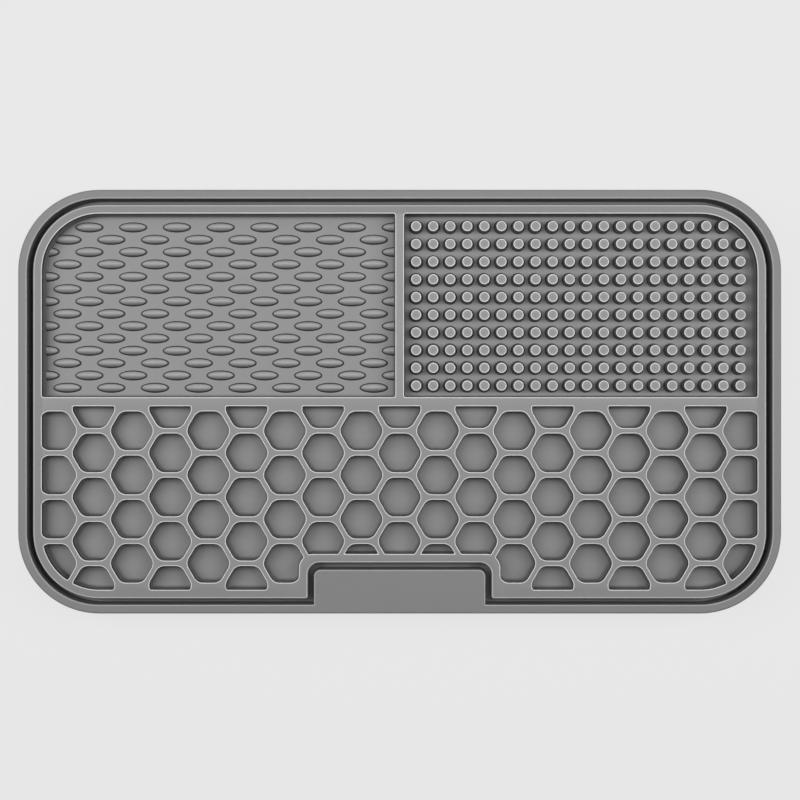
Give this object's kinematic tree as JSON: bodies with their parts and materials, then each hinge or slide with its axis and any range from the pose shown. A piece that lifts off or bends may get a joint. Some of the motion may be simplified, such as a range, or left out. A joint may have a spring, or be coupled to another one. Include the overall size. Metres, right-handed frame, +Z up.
{
  "type": "lick mat",
  "caption": "Lick mat: a silicone insert with honeycomb cells, round pegs and rice-grain bumps, which lifts out of a rigid tray with a finger tab that stands on suction cups.",
  "frame": {"origin": "on the table, under the middle of the tray", "axes": "+X along the long side, +Y away from the finger tab, +Z up"},
  "size_m": [0.229, 0.1272, 0.0145],
  "materials": {
    "tray_plastic": "satin",
    "mat_silicone": "satin",
    "cup_silicone": "satin"
  },
  "bodies": {
    "tray": {"tray": "tray_plastic", "suction_cup_front_left": "cup_silicone", "suction_cup_front_middle": "cup_silicone", "suction_cup_front_right": "cup_silicone", "suction_cup_rear_left": "cup_silicone", "suction_cup_rear_middle": "cup_silicone", "suction_cup_rear_right": "cup_silicone"},
    "mat": {"mat": "mat_silicone"}
  },
  "joints": [
    {"name": "mat_lift", "type": "slide", "parent": "tray", "child": "mat", "axis": [0, 0, 1], "range_m": [0, 0.025]}
  ]
}
